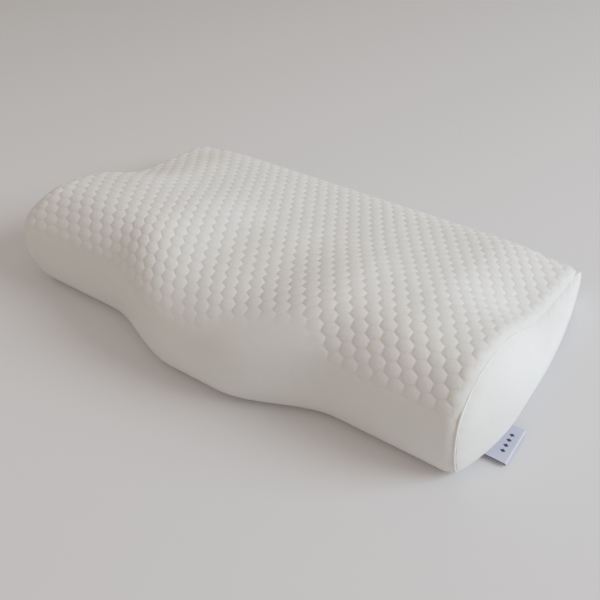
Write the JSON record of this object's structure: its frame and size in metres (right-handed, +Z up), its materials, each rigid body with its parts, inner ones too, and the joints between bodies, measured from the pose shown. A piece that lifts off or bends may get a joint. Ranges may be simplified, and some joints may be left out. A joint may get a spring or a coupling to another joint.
{
  "type": "bed pillow",
  "caption": "Contoured memory foam bed pillow with raised side wings and a bulging neck side, in a white bubble-knit zip-off cover.",
  "frame": {"origin": "middle of the flat underside, half way between the two end seams and between the back and the straight stretches of the neck side", "axes": "+X along the pillow's length, -Y towards the neck side that bulges, +Z up"},
  "size_m": [0.6254, 0.3647, 0.1077],
  "materials": {
    "knit_cover": "white raised-hexagon knit with plain knit sides",
    "plain_knit": "smooth white double knit",
    "liner_jersey": "thin off-white jersey",
    "memory_foam": "cream open-cell foam",
    "zip_tape": "white woven tape",
    "zip_nylon": "white nylon coil",
    "zip_metal": "nickel-plated zinc",
    "label_satin": "pale woven satin ribbon"
  },
  "bodies": {
    "pillow": {"cover_top_panel": "knit_cover", "cover_bottom_panel": "plain_knit", "cover_left_end_panel": "plain_knit", "cover_right_end_panel": "plain_knit", "left_end_piping": "plain_knit", "right_end_piping": "plain_knit", "liner_top_panel": "liner_jersey", "liner_bottom_panel": "liner_jersey", "liner_left_end_panel": "liner_jersey", "liner_right_end_panel": "liner_jersey", "foam_core": "memory_foam", "zip_tape_upper": "zip_tape", "zip_tape_lower": "zip_tape", "zip_coil_upper": "zip_nylon", "zip_coil_lower": "zip_nylon", "zip_stop_left": "zip_tape", "zip_stop_right": "zip_tape", "care_label": "label_satin"},
    "slider": {"zip_slider": "zip_metal"},
    "pull_tab": {"zip_pull_tab": "zip_metal"},
    "label_flap": {"side_label": "label_satin"}
  },
  "joints": [
    {"name": "zip_slide", "type": "slide", "parent": "pillow", "child": "slider", "axis": [-1, 0, 0], "range_m": [0, 0.425]},
    {"name": "pull_tab_hinge", "type": "hinge", "parent": "slider", "child": "pull_tab", "pos_m": [0.2086, 0.1649, 0.022], "axis": [0, 0, -1], "range_deg": [0, 180]},
    {"name": "side_label_hinge", "type": "hinge", "parent": "pillow", "child": "label_flap", "pos_m": [0.2947, -0.094, 0.0021], "axis": [0, -1, 0], "range_deg": [0, 40]}
  ]
}
